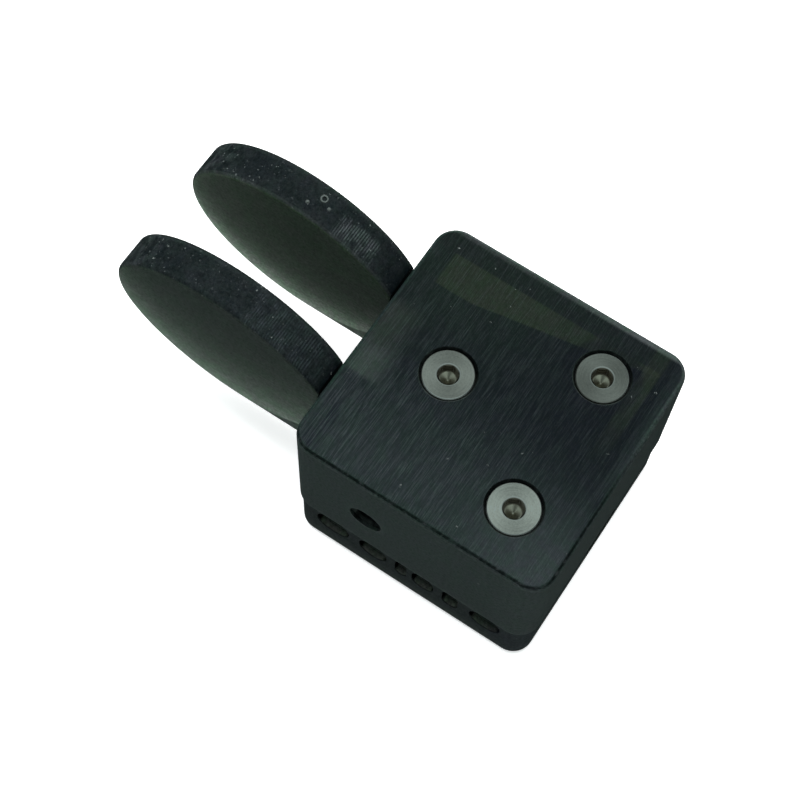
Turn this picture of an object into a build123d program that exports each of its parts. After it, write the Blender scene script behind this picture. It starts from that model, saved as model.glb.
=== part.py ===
"""Pocket twin-lever telegraph key: two sprung finger levers in a screwed block with a jack.

Frame: +Z up, operator on the -Y side, +X on the operator's right.
The origin is the centre of the block on the plane it rests on. Millimetres throughout.
"""

import os
from math import atan2, cos, degrees, radians, sin, sqrt

from build123d import *

# ---- block ------------------------------------------------------------------------------------
block_width = 30.0
block_depth = 30.0
block_top = 24.15
corner_radius = 2.6
top_edge_radius = 0.6
base_bottom = 0.4
floor_height = 6.45
seam_height = 8.1
base_inset = 0.25
base_edge_chamfer = 0.4
side_wall = 2.8
end_wall = 2.0
ceiling_height = 19.75
cavity_corner_radius = 1.2

# ---- screws -----------------------------------------------------------------------------------
front_screw = (0.0, -5.4)
pivot_x = 8.5
pivot_y = 7.8
pivot_screws = ((-pivot_x, pivot_y), (pivot_x, pivot_y))
all_screws = (front_screw,) + pivot_screws
screw_radius = 1.5
screw_length = 20.0
screw_pitch = 0.5
thread_depth = 0.25
head_radius = 2.8
head_land = 0.2
head_sink = 0.1
head_edge = 0.12
socket_across_flats = 2.0
socket_depth = 1.1
socket_mouth_radius = 1.22
socket_mouth_depth = 0.25
socket_point_radius = 0.8
screw_hole_radius = 1.6
countersink_radius = 3.1
insert_radius = 2.1
insert_length = 4.0
insert_bore_radius = 1.52
post_radius = 3.0

# ---- levers -----------------------------------------------------------------------------------
finger_x = 6.6
finger_thickness = 4.6
finger_centre_y = -27.5
finger_centre_z = 19.35
finger_half_length = 13.8
finger_half_height = 10.5
finger_tilt = 11.4
finger_gap = 0.4
finger_edge_radius = 0.65
mark_x = -7.1
mark_radius = 0.42
mark_bore_radius = 0.2
mark_height = 0.12
nib_radius = 0.13
nib_places = ((1.3, -1.2), (0.6, 1.0))
arm_top = 17.4
arm_half_width = 2.0
arm_front_y = -13.0
eye_radius = 3.0

# ---- pivot stack and contacts -----------------------------------------------------------------
running_gap = 0.05
washer_thickness = 0.5
washer_radius = 2.8
tag_thickness = 0.4
tag_radius = 2.6
tag_width = 1.8
tag_reach = 4.6
bush_radius = 2.0
bush_bore_radius = 1.55
strip_thickness = 0.25
strip_width = 2.4
ear_drop = 4.2
contact_post_radius = 2.2
contact_gap = 0.49
contact_height = 15.0
stud_radius = 1.1
stud_shank_radius = 0.7
stud_shank_length = 1.8

# ---- gap screws -------------------------------------------------------------------------------
gap_screw_radius = 1.9
gap_screw_length = 4.0
gap_screw_pitch = 0.7
gap_hole_radius = 1.93
gap_thread_depth = 0.16
gap_boss_radius = 3.2
gap_boss_length = 1.5
gap_clearance = 0.03

# ---- return spring ----------------------------------------------------------------------------
spring_y = 0.6
spring_height = 12.9
spring_coil_radius = 1.5
spring_wire_radius = 0.2
spring_turns = 9
spring_pocket_radius = 2.1
spring_pocket_depth = 1.2

# ---- jack and wiring --------------------------------------------------------------------------
jack_x = -1.9
jack_height = 3.5
jack_width = 6.0
jack_tall = 5.0
jack_length = 13.2
jack_rear_y = 12.9
jack_nose_radius = 2.5
jack_nose_length = 1.2
jack_bore_radius = 1.8
jack_opening_width = 6.3
jack_opening_height = 5.2
jack_opening_corner = 2.4
jack_bore_depth = 13.4
jack_ferrule_length = 4.0
terminal_width = 1.2
terminal_thickness = 0.3
terminal_reach = 1.6
terminal_spacing = 2.0
terminal_room = 0.2
jack_play = 0.05
wire_radius = 0.3
wire_bend = 1.2
common_wire_run = 2.2

# ---- grip pad and side pattern ----------------------------------------------------------------
pad_width = 24.0
pad_corner_radius = 2.0
pad_thickness = 0.8
pad_play = 0.05
recess_depth = 0.8
recess_height = 3.7
recess_centre_z = 5.6
# (centre along Y, length along Y) of the decorative recesses on the +X side of the base
side_recesses = ((-9.7, 4.2), (-4.5, 3.6), (-0.9, 1.5), (1.9, 2.8), (5.4, 2.0), (9.8, 3.9))

# ---- sizes that follow ------------------------------------------------------------------------
tilt = radians(finger_tilt)
finger_rise = sqrt((finger_half_length * sin(tilt)) ** 2 + (finger_half_height * cos(tilt)) ** 2)
finger_sag_y = (finger_half_length**2 - finger_half_height**2) * sin(tilt) * cos(tilt) / finger_rise
arm_bottom = finger_centre_z - finger_rise
arm_height = arm_top - arm_bottom
finger_back_y = -block_depth / 2 - finger_gap
arm_angle = degrees(atan2(pivot_x - finger_x, pivot_y - arm_front_y))
arm_length = sqrt((pivot_x - finger_x) ** 2 + (pivot_y - arm_front_y) ** 2)
lower_washer_z = arm_bottom - running_gap - washer_thickness
tag_z = lower_washer_z - tag_thickness
wire_height = tag_z - wire_radius - 0.02
jack_front_y = jack_rear_y - jack_length
terminal_z = jack_height + jack_bore_radius + 0.05
upper_washer_z = arm_top + strip_thickness + running_gap
boss_bottom = upper_washer_z + washer_thickness
cavity_half_width = block_width / 2 - side_wall
cavity_half_depth = block_depth / 2 - end_wall
head_top = block_top - head_sink
slot_inner_x = finger_x - finger_thickness / 2 - 1.1
slot_outer_x = finger_x + finger_thickness / 2 + 0.3
slot_top = arm_top + 0.4
lean = radians(arm_angle)
contact_drop = pivot_y - front_screw[1]
arm_x_at_contact = pivot_x - contact_drop * sin(lean) / cos(lean)
gap_screw_tip_x = arm_x_at_contact + arm_half_width / cos(lean) + gap_clearance
# The stud's foot sits a little further down the arm, so that its tip meets the post squarely.
stud_along = contact_drop / cos(lean) + (finger_x - contact_post_radius) * sin(lean)
stud_foot = arm_half_width + strip_thickness
stud_base_x = pivot_x - stud_along * sin(lean)
stud_length = (stud_base_x - contact_post_radius - contact_gap) / cos(lean) - stud_foot


def block_outline(inset, radius):
    """Rounded square of the block's plan, drawn in the current sketch."""
    RectangleRounded(block_width - 2 * inset, block_depth - 2 * inset, radius)


def across(height, y):
    """Plane whose normal is +X, centred on the middle plane at this height and Y."""
    return Plane(origin=(0, y, height), x_dir=(0, 1, 0), z_dir=(1, 0, 0))


def lengthwise(x, height, y):
    """Plane whose normal is +Y, at this place; its own +Y direction is +Z."""
    return Plane(origin=(x, y, height), x_dir=(-1, 0, 0), z_dir=(0, 1, 0))


def along_arm(height):
    """Plane at the right-hand pivot whose +X direction runs down the arm towards the finger."""
    heading = radians(-90 - arm_angle)
    return Plane(origin=(pivot_x, pivot_y, height), x_dir=(cos(heading), sin(heading), 0), z_dir=(0, 0, 1))


def at_stud(distance):
    """Plane facing the contact post, this far inwards from the middle of the right-hand arm."""
    frame = along_arm(contact_height)
    foot = frame.from_local_coords(Vector(stud_along, -distance, 0))
    return Plane(origin=foot, x_dir=frame.x_dir, z_dir=-frame.y_dir)


def ring_thread(radius, depth, pitch, start, end):
    """Zigzag of thread flanks from start to end on a radius, as (radius, distance) points."""
    points = []
    turns = int((end - start) / pitch)
    for turn in range(turns):
        points.append((radius, start + turn * pitch))
        points.append((radius - depth, start + (turn + 0.5) * pitch))
    points.append((radius, start + turns * pitch))
    points.append((radius, end))
    return points


# ---- body shell: walls, roof, screw bosses, lever slots and gap screw holes ---------------------
with BuildPart() as body_shell:
    with BuildSketch(Plane.XY.offset(seam_height)):
        block_outline(0, corner_radius)
    extrude(amount=block_top - seam_height)
    fillet(body_shell.faces().sort_by(Axis.Z)[-1].edges(), top_edge_radius)
    with BuildSketch(Plane.XY.offset(seam_height)):
        RectangleRounded(2 * cavity_half_width, 2 * cavity_half_depth, cavity_corner_radius)
    extrude(amount=ceiling_height - seam_height, mode=Mode.SUBTRACT)
    with BuildSketch(Plane.XY.offset(boss_bottom)):
        with Locations(*all_screws):
            Circle(post_radius)
    extrude(amount=ceiling_height - boss_bottom)
    with BuildSketch(across(contact_height, front_screw[1]).offset(cavity_half_width - gap_boss_length)):
        Circle(gap_boss_radius)
    extrude(amount=gap_boss_length)
    with BuildSketch(across(contact_height, front_screw[1]).offset(-cavity_half_width)):
        Circle(gap_boss_radius)
    extrude(amount=gap_boss_length)
    with BuildSketch(Plane.XY.offset(seam_height)):
        with Locations((0, -block_depth / 2 + end_wall / 2)):
            Rectangle(2 * slot_outer_x, end_wall)
            Rectangle(2 * slot_inner_x, end_wall, mode=Mode.SUBTRACT)
    extrude(amount=slot_top - seam_height, mode=Mode.SUBTRACT)
    with BuildSketch(Plane.XY.offset(boss_bottom)):
        with Locations(*all_screws):
            Circle(screw_hole_radius)
    extrude(amount=block_top - boss_bottom, mode=Mode.SUBTRACT)
    with BuildSketch(Plane.XY.offset(block_top)):
        with Locations(*all_screws):
            Circle(countersink_radius)
    extrude(amount=-(countersink_radius - screw_hole_radius), taper=45, mode=Mode.SUBTRACT)
    thread_inner = cavity_half_width - gap_boss_length
    with BuildSketch(Plane.XY.offset(contact_height)) as gap_hole:
        with BuildLine():
            Polyline(
                (thread_inner, front_screw[1]),
                *[
                    (along, front_screw[1] + 2 * gap_hole_radius - radius)
                    for radius, along in ring_thread(
                        gap_hole_radius, gap_thread_depth, gap_screw_pitch, thread_inner, block_width / 2
                    )
                ],
                (block_width / 2, front_screw[1]),
                close=True,
            )
        make_face()
    revolve(axis=Axis((0, front_screw[1], contact_height), (1, 0, 0)), mode=Mode.SUBTRACT)
    mirrored_hole = mirror(gap_hole.sketch, about=Plane.YZ, mode=Mode.PRIVATE)
    revolve(mirrored_hole, axis=Axis((0, front_screw[1], contact_height), (1, 0, 0)), mode=Mode.SUBTRACT)
body_shell.part.label = "body_shell"

# ---- base plate: floor, rim, screw posts, slot tongues, jack bed and decorated side -------------
with BuildPart() as base_plate:
    with BuildSketch(Plane.XY.offset(base_bottom)):
        block_outline(base_inset, corner_radius - base_inset)
    extrude(amount=seam_height - base_bottom)
    chamfer(base_plate.faces().sort_by(Axis.Z)[0].edges(), base_edge_chamfer)
    with BuildSketch(Plane.XY.offset(floor_height)):
        RectangleRounded(2 * cavity_half_width, 2 * cavity_half_depth, cavity_corner_radius)
    extrude(amount=seam_height - floor_height, mode=Mode.SUBTRACT)
    with BuildSketch(Plane.XY.offset(floor_height)):
        with Locations(*all_screws):
            Circle(post_radius)
    extrude(amount=tag_z - floor_height)
    tongue_width = slot_outer_x - slot_inner_x - 0.2
    with BuildSketch(Plane.XY.offset(seam_height)):
        with Locations((0, -block_depth / 2 + (end_wall + base_inset) / 2)):
            with GridLocations(slot_outer_x + slot_inner_x, 1, 2, 1):
                Rectangle(tongue_width, end_wall - base_inset)
    extrude(amount=arm_bottom - 0.4 - seam_height)
    with BuildSketch(Plane.XY.offset(tag_z)):
        with Locations(*all_screws):
            Circle(insert_radius)
    extrude(amount=-insert_length, mode=Mode.SUBTRACT)
    with BuildSketch(Plane.XY.offset(tag_z)):
        with Locations(*all_screws):
            Circle(screw_hole_radius)
    extrude(amount=-(insert_length + 1), mode=Mode.SUBTRACT)
    with BuildSketch(Plane.XY.offset(floor_height)):
        with Locations((jack_x, jack_rear_y - jack_length / 2)):
            Rectangle(jack_width + 2 * jack_play, jack_length + 2 * jack_play)
    extrude(amount=jack_height - jack_tall / 2 - jack_play - floor_height, mode=Mode.SUBTRACT)
    with BuildSketch(Plane.XY.offset(floor_height)):
        with Locations((jack_x, jack_front_y)):
            Rectangle(jack_width + 2 * jack_play, 2 * (terminal_reach + terminal_room))
    extrude(amount=terminal_z - terminal_room - floor_height, mode=Mode.SUBTRACT)
    with BuildSketch(lengthwise(jack_x, jack_height, jack_rear_y)):
        RectangleRounded(jack_opening_width, jack_opening_height, jack_opening_corner)
    extrude(amount=block_depth / 2 - jack_rear_y, mode=Mode.SUBTRACT)
    with BuildSketch(Plane.XY.offset(base_bottom)):
        RectangleRounded(pad_width + 2 * pad_play, pad_width + 2 * pad_play, pad_corner_radius)
    extrude(amount=pad_thickness - base_bottom, mode=Mode.SUBTRACT)
    side_x = block_width / 2 - base_inset
    with BuildSketch(across(recess_centre_z, 0).offset(side_x)):
        for centre, length in side_recesses:
            with Locations((centre, 0)):
                RectangleRounded(length, recess_height, min(length, recess_height) / 2 - 0.05)
    extrude(amount=-recess_depth, mode=Mode.SUBTRACT)
base_plate.part.label = "base_plate"

# ---- grip pad under the base --------------------------------------------------------------------
with BuildPart() as anti_slip_pad:
    with BuildSketch():
        RectangleRounded(pad_width, pad_width, pad_corner_radius)
    extrude(amount=pad_thickness)
    chamfer(anti_slip_pad.faces().sort_by(Axis.Z)[0].edges(), 0.15)
anti_slip_pad.part.label = "anti_slip_pad"

# ---- levers: oval finger plate, straight neck, slanting arm and pivot eye -----------------------
with BuildPart() as right_lever:
    with BuildSketch(across(0, 0).offset(finger_x - finger_thickness / 2)):
        with Locations(Location((finger_centre_y, finger_centre_z), -finger_tilt)):
            Ellipse(finger_half_length, finger_half_height)
        neck_start = finger_centre_y + finger_sag_y
        with Locations((neck_start, arm_bottom)):
            Rectangle(arm_front_y - neck_start, arm_height, align=(Align.MIN, Align.MIN))
    extrude(amount=finger_thickness)
    finger_faces = right_lever.faces().filter_by(Axis.X).group_by(Axis.X)
    fillet((finger_faces[0] + finger_faces[-1]).edges(), finger_edge_radius)
    with BuildSketch(across(0, 0).offset(finger_x - finger_thickness / 2)):
        with Locations((finger_back_y, arm_top)):
            Rectangle(finger_half_length, finger_half_length, align=(Align.MIN, Align.MIN))
    extrude(amount=finger_thickness, mode=Mode.SUBTRACT)
    with BuildSketch(along_arm(arm_bottom)):
        Rectangle(arm_length, 2 * arm_half_width, align=(Align.MIN, Align.CENTER))
        Circle(eye_radius)
    extrude(amount=arm_height)
    with BuildSketch(Plane.XY.offset(arm_bottom)):
        with Locations((pivot_x, pivot_y)):
            Circle(bush_radius)
    extrude(amount=arm_height, mode=Mode.SUBTRACT)
    with BuildSketch(across(spring_height, spring_y)):
        Circle(spring_pocket_radius)
    pocket_floor_x = pivot_x - (pivot_x - finger_x) * (pivot_y - spring_y) / (pivot_y - arm_front_y)
    pocket_floor_x += spring_pocket_depth - arm_half_width
    extrude(amount=pocket_floor_x, mode=Mode.SUBTRACT)
    with BuildSketch(at_stud(arm_half_width)):
        Circle(stud_shank_radius)
    extrude(amount=-stud_shank_length, mode=Mode.SUBTRACT)
right_lever.part.label = "right_lever"

# ---- parts carried by the right-hand lever ------------------------------------------------------
with BuildPart() as right_pivot_bush:
    with BuildSketch(Plane.XY.offset(arm_bottom)):
        with Locations((pivot_x, pivot_y)):
            Circle(bush_radius)
            Circle(bush_bore_radius, mode=Mode.SUBTRACT)
    extrude(amount=arm_height)
right_pivot_bush.part.label = "right_pivot_bush"

with BuildPart() as right_contact_strip:
    with BuildSketch(along_arm(arm_top)):
        Circle(tag_radius)
        Rectangle(stud_along + strip_width / 2, strip_width, align=(Align.MIN, Align.CENTER))
        with Locations((stud_along, -stud_foot / 2)):
            Rectangle(strip_width, stud_foot)
        Circle(bush_bore_radius, mode=Mode.SUBTRACT)
    extrude(amount=strip_thickness)
    with BuildSketch(along_arm(arm_top - ear_drop)):
        with Locations((stud_along, -stud_foot + strip_thickness / 2)):
            Rectangle(strip_width, strip_thickness)
    extrude(amount=ear_drop)
    with BuildSketch(at_stud(arm_half_width)):
        Circle(stud_shank_radius)
    extrude(amount=strip_thickness, mode=Mode.SUBTRACT)
right_contact_strip.part.label = "right_contact_strip"

with BuildPart() as right_contact_stud:
    with BuildSketch(at_stud(arm_half_width - stud_shank_length)):
        Circle(stud_shank_radius)
    extrude(amount=stud_shank_length + strip_thickness)
    with BuildSketch(at_stud(stud_foot)):
        Circle(stud_radius)
    extrude(amount=stud_length)
    fillet(right_contact_stud.edges().sort_by(Axis.X)[0], 0.9 * stud_radius)
right_contact_stud.part.label = "right_contact_stud"

# ---- left-hand side, the mirror image of the right ----------------------------------------------
# Only this plate's rim keeps the ring and the two nibs left by its casting supports.
with BuildPart() as left_lever:
    mirror(right_lever.part, about=Plane.YZ)
    rim_top_y = finger_centre_y + finger_half_height * sin(tilt)
    rim_top_z = finger_centre_z + finger_half_height * cos(tilt)
    rim_top = Plane(origin=(mark_x, rim_top_y, rim_top_z), x_dir=(1, 0, 0), z_dir=(0, sin(tilt), cos(tilt)))
    with BuildSketch(rim_top.offset(-mark_height)):
        Circle(mark_radius)
        Circle(mark_bore_radius, mode=Mode.SUBTRACT)
        with Locations(*nib_places):
            Circle(nib_radius)
    extrude(amount=2 * mark_height)
left_lever.part.label = "left_lever"

with BuildPart() as left_pivot_bush:
    mirror(right_pivot_bush.part, about=Plane.YZ)
left_pivot_bush.part.label = "left_pivot_bush"

with BuildPart() as left_contact_strip:
    mirror(right_contact_strip.part, about=Plane.YZ)
left_contact_strip.part.label = "left_contact_strip"

with BuildPart() as left_contact_stud:
    mirror(right_contact_stud.part, about=Plane.YZ)
left_contact_stud.part.label = "left_contact_stud"

# ---- countersunk screws -------------------------------------------------------------------------
shank_top = head_top - head_land - (head_radius - screw_radius)
screw_tip = head_top - screw_length
# Half of the screw's section, from its axis outwards, tip first.
thread_profile = ring_thread(screw_radius, thread_depth, screw_pitch, screw_tip + 0.4, shank_top)
screw_profile = [(0, screw_tip), (screw_radius - 0.4, screw_tip), *thread_profile]
screw_profile += [(head_radius, head_top - head_land), (head_radius, head_top - head_edge)]
screw_profile += [(head_radius - head_edge, head_top), (0, head_top)]

with BuildPart() as front_contact_screw:
    with BuildSketch(Plane.XZ):
        with BuildLine():
            Polyline(*screw_profile, close=True)
        make_face()
    revolve(axis=Axis.Z)
    with BuildSketch(Plane.XY.offset(head_top)):
        RegularPolygon(socket_across_flats / 2, 6, major_radius=False)
    extrude(amount=-socket_depth, mode=Mode.SUBTRACT)
    with BuildSketch(Plane.XY.offset(head_top)):
        Circle(socket_mouth_radius)
    extrude(amount=-socket_mouth_depth, taper=45, mode=Mode.SUBTRACT)
    with BuildSketch(Plane.XY.offset(head_top - socket_depth)):
        Circle(socket_point_radius)
    extrude(amount=-socket_point_radius / 2, taper=60, mode=Mode.SUBTRACT)
socket_screw = front_contact_screw.part
front_contact_screw.part = Pos(*front_screw, 0) * socket_screw
front_contact_screw.part.label = "front_contact_screw"

with BuildPart() as rear_pivot_screws:
    with Locations(*pivot_screws):
        add(socket_screw)
rear_pivot_screws.part.label = "rear_pivot_screws"

# ---- rings of the screw stacks ------------------------------------------------------------------
with BuildPart() as threaded_inserts:
    with BuildSketch(Plane.XY.offset(tag_z - insert_length)):
        with Locations(*all_screws):
            Circle(insert_radius)
            Circle(insert_bore_radius, mode=Mode.SUBTRACT)
    extrude(amount=insert_length)
threaded_inserts.part.label = "threaded_inserts"

with BuildPart() as pivot_washers:
    for washer_z in (lower_washer_z, upper_washer_z):
        with BuildSketch(Plane.XY.offset(washer_z)):
            with Locations(*pivot_screws):
                Circle(washer_radius)
                Circle(bush_bore_radius, mode=Mode.SUBTRACT)
        extrude(amount=washer_thickness)
pivot_washers.part.label = "pivot_washers"

with BuildPart() as contact_post:
    with BuildSketch(Plane.XY.offset(tag_z + tag_thickness)):
        with Locations(front_screw):
            Circle(contact_post_radius)
            Circle(bush_bore_radius, mode=Mode.SUBTRACT)
    extrude(amount=boss_bottom - tag_z - tag_thickness)
contact_post.part.label = "contact_post"

# Each tag is a ring with a tail: (ring centre, heading of the tail in degrees)
tag_places = ((front_screw, 180), (pivot_screws[0], -90), (pivot_screws[1], -90))
with BuildPart() as solder_tags:
    with BuildSketch(Plane.XY.offset(tag_z)):
        for place, heading in tag_places:
            with Locations(Location(place, heading)):
                Circle(tag_radius)
                Rectangle(tag_reach, tag_width, align=(Align.MIN, Align.CENTER))
        with Locations(*all_screws):
            Circle(bush_bore_radius, mode=Mode.SUBTRACT)
    extrude(amount=tag_thickness)
solder_tags.part.label = "solder_tags"

# ---- gap screws: grub screws that set how far each lever opens ----------------------------------
grub_profile = [(gap_screw_tip_x, 0), (gap_screw_tip_x, 0.6)]
grub_profile += [
    (along, radius)
    for radius, along in ring_thread(
        gap_screw_radius,
        gap_thread_depth,
        gap_screw_pitch,
        gap_screw_tip_x + 0.8,
        gap_screw_tip_x + gap_screw_length,
    )
]
grub_profile += [(gap_screw_tip_x + gap_screw_length, 0)]

with BuildPart() as right_gap_screw:
    with BuildSketch(Plane.XY):
        with BuildLine():
            Polyline(*grub_profile, close=True)
        make_face()
    revolve(axis=Axis.X)
    with BuildSketch(Plane.YZ.offset(gap_screw_tip_x + gap_screw_length)):
        RegularPolygon(socket_across_flats / 2, 6, major_radius=False)
    extrude(amount=-2 * socket_depth, mode=Mode.SUBTRACT)
right_gap_screw.part = Pos(0, front_screw[1], contact_height) * right_gap_screw.part
right_gap_screw.part.label = "right_gap_screw"

with BuildPart() as left_gap_screw:
    mirror(right_gap_screw.part, about=Plane.YZ)
left_gap_screw.part.label = "left_gap_screw"

# ---- return spring between the arms -------------------------------------------------------------
spring_length = 2 * (pocket_floor_x - spring_wire_radius) - 0.04
with BuildPart() as return_spring:
    with BuildLine() as coil:
        Helix(
            spring_length / spring_turns,
            spring_length,
            spring_coil_radius,
            center=(-spring_length / 2, spring_y, spring_height),
            direction=(1, 0, 0),
        )
    with BuildSketch(Plane(origin=coil.line @ 0, z_dir=coil.line % 0)):
        Circle(spring_wire_radius)
    sweep()
return_spring.part.label = "return_spring"

# ---- jack: housing with three metal contacts that end in solder terminals -----------------------
jack_face_y = jack_rear_y + jack_nose_length
blade_inner = jack_bore_radius
blade_drop = terminal_z - jack_height + 0.5
tab_height = wire_height - wire_radius - 0.02 - terminal_z
# (sideways place of the leaf, how far back its blade stands from the housing's front)
tip_contact = (0.0, 1.2)
ring_contact = (-terminal_spacing, 5.0)
sleeve_contact = (terminal_spacing, jack_length - jack_ferrule_length)


def contact_leaf(contact, spare):
    """Flat leaf of a jack contact in plan, from its terminal to its blade, in the current sketch."""
    sideways, reach = contact
    length = terminal_reach + reach + terminal_width
    with Locations((jack_x + sideways, jack_front_y - terminal_reach - spare)):
        Rectangle(terminal_width + 2 * spare, length + 2 * spare, align=(Align.CENTER, Align.MIN))


def terminal_tab(contact):
    """Upright solder tab in plan, at the terminal end of a leaf, in the current sketch."""
    with Locations((jack_x + contact[0], jack_front_y - terminal_reach)):
        Rectangle(terminal_width, terminal_thickness, align=(Align.CENTER, Align.MIN))


def contact_blade(contact, spare):
    """Upright blade beside the bore in plan, at the far end of a leaf, in the current sketch."""
    sideways, reach = contact
    side = 1 if sideways > 0 else -1
    with Locations((jack_x + side * (blade_inner + terminal_thickness / 2), jack_front_y + reach)):
        Rectangle(terminal_thickness + 2 * spare, terminal_width, align=(Align.CENTER, Align.MIN))


with BuildPart() as jack_housing:
    with BuildSketch(Plane.XY.offset(jack_height - jack_tall / 2)):
        with Locations((jack_x, jack_rear_y - jack_length / 2)):
            Rectangle(jack_width, jack_length)
    extrude(amount=jack_tall)
    chamfer(jack_housing.edges().filter_by(Axis.Y), 0.2)
    with BuildSketch(lengthwise(jack_x, jack_height, jack_rear_y)):
        Circle(jack_nose_radius)
    extrude(amount=jack_nose_length)
    with BuildSketch(lengthwise(jack_x, jack_height, jack_face_y)):
        Circle(jack_bore_radius)
    extrude(amount=-jack_bore_depth, mode=Mode.SUBTRACT)
    with BuildSketch(lengthwise(jack_x, jack_height, jack_rear_y)):
        Circle(jack_bore_radius + terminal_thickness)
    extrude(amount=-jack_ferrule_length, mode=Mode.SUBTRACT)
    with BuildSketch(Plane.XY.offset(terminal_z)):
        contact_leaf(tip_contact, 0.02)
        contact_leaf(ring_contact, 0.02)
        contact_leaf(sleeve_contact, 0.02)
    extrude(amount=terminal_thickness + 0.02, mode=Mode.SUBTRACT)
    with BuildSketch(Plane.XY.offset(terminal_z)):
        contact_blade(ring_contact, 0.02)
        contact_blade(sleeve_contact, 0.02)
    extrude(amount=-blade_drop, mode=Mode.SUBTRACT)
jack_housing.part.label = "jack_housing"

with BuildPart() as jack_tip_contact:
    with BuildSketch(Plane.XY.offset(terminal_z)):
        contact_leaf(tip_contact, 0)
    extrude(amount=terminal_thickness)
    with BuildSketch(Plane.XY.offset(terminal_z)):
        terminal_tab(tip_contact)
    extrude(amount=tab_height)
jack_tip_contact.part.label = "jack_tip_contact"

with BuildPart() as jack_ring_contact:
    with BuildSketch(Plane.XY.offset(terminal_z)):
        contact_leaf(ring_contact, 0)
    extrude(amount=terminal_thickness)
    with BuildSketch(Plane.XY.offset(terminal_z)):
        terminal_tab(ring_contact)
    extrude(amount=tab_height)
    with BuildSketch(Plane.XY.offset(terminal_z)):
        contact_blade(ring_contact, 0)
    extrude(amount=-blade_drop)
jack_ring_contact.part.label = "jack_ring_contact"

with BuildPart() as jack_sleeve_contact:
    with BuildSketch(Plane.XY.offset(terminal_z)):
        contact_leaf(sleeve_contact, 0)
    extrude(amount=terminal_thickness)
    with BuildSketch(Plane.XY.offset(terminal_z)):
        terminal_tab(sleeve_contact)
    extrude(amount=tab_height)
    with BuildSketch(Plane.XY.offset(terminal_z)):
        contact_blade(sleeve_contact, 0)
    extrude(amount=-blade_drop)
    with BuildSketch(lengthwise(jack_x, jack_height, jack_rear_y)):
        Circle(jack_bore_radius + terminal_thickness)
        Circle(jack_bore_radius, mode=Mode.SUBTRACT)
    extrude(amount=-jack_ferrule_length)
jack_sleeve_contact.part.label = "jack_sleeve_contact"

# ---- wires from the tags to the jack's terminals, all lying at one height ------------------------
tail_end = tag_reach - wire_radius
solder_y = jack_front_y - terminal_reach + terminal_thickness / 2
pivot_tail_y = pivot_y - tail_end
left_wire_route = (
    (-pivot_x, pivot_tail_y),
    (-pivot_x, solder_y),
    (jack_x - terminal_spacing, solder_y),
)
right_wire_route = (
    (pivot_x, pivot_tail_y),
    (pivot_x, solder_y),
    (jack_x + terminal_spacing, solder_y),
)
common_wire_route = (
    (-tail_end, front_screw[1]),
    (-tail_end, front_screw[1] + common_wire_run),
    (jack_x, solder_y - wire_bend),
    (jack_x, solder_y + wire_radius),
)

with BuildPart() as left_wire:
    with BuildLine(Plane.XY.offset(wire_height)) as left_path:
        FilletPolyline(*left_wire_route, radius=wire_bend)
    with BuildSketch(Plane(origin=left_path.line @ 0, z_dir=left_path.line % 0)):
        Circle(wire_radius)
    sweep()
left_wire.part.label = "left_wire"

with BuildPart() as right_wire:
    with BuildLine(Plane.XY.offset(wire_height)) as right_path:
        FilletPolyline(*right_wire_route, radius=wire_bend)
    with BuildSketch(Plane(origin=right_path.line @ 0, z_dir=right_path.line % 0)):
        Circle(wire_radius)
    sweep()
right_wire.part.label = "right_wire"

with BuildPart() as common_wire:
    with BuildLine(Plane.XY.offset(wire_height)) as common_path:
        FilletPolyline(*common_wire_route, radius=wire_bend / 2)
    with BuildSketch(Plane(origin=common_path.line @ 0, z_dir=common_path.line % 0)):
        Circle(wire_radius)
    sweep()
common_wire.part.label = "common_wire"

# ---- one STEP file for each piece ---------------------------------------------------------------
pieces = (
    body_shell,
    base_plate,
    anti_slip_pad,
    right_lever,
    left_lever,
    right_pivot_bush,
    left_pivot_bush,
    right_contact_strip,
    left_contact_strip,
    right_contact_stud,
    left_contact_stud,
    front_contact_screw,
    rear_pivot_screws,
    threaded_inserts,
    pivot_washers,
    contact_post,
    solder_tags,
    right_gap_screw,
    left_gap_screw,
    return_spring,
    jack_housing,
    jack_tip_contact,
    jack_ring_contact,
    jack_sleeve_contact,
    left_wire,
    right_wire,
    common_wire,
)
os.makedirs("parts", exist_ok=True)
for piece in pieces:
    export_step(piece.part, f"parts/{piece.part.label}.step")
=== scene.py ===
"""Looks of the twin-lever telegraph key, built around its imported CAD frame.

The materials are procedural and work in millimetres of the row frame: +X is the operator's right,
-Y is where the finger plates point and +Z is up. Light and dark areas under the smoked resin's
skin, such as the hollow behind a wall, are painted by place, because the resin is nearly opaque.
"""

import math

import bmesh
import bpy
from mathutils import Matrix, Vector


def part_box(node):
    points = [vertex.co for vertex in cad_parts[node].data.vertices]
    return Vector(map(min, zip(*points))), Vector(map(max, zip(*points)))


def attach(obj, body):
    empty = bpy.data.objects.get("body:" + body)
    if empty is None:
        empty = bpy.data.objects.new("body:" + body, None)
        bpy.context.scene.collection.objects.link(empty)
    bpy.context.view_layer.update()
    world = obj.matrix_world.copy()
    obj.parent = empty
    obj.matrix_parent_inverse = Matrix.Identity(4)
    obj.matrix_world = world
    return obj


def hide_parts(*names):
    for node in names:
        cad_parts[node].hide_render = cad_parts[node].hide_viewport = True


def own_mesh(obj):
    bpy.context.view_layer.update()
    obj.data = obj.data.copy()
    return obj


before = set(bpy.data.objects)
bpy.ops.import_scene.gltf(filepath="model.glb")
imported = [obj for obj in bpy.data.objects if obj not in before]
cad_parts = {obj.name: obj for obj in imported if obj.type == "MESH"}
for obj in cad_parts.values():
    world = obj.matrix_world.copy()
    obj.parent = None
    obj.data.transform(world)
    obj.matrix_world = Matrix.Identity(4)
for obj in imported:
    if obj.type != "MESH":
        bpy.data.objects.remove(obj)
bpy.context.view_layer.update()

MM = 0.001

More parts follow.
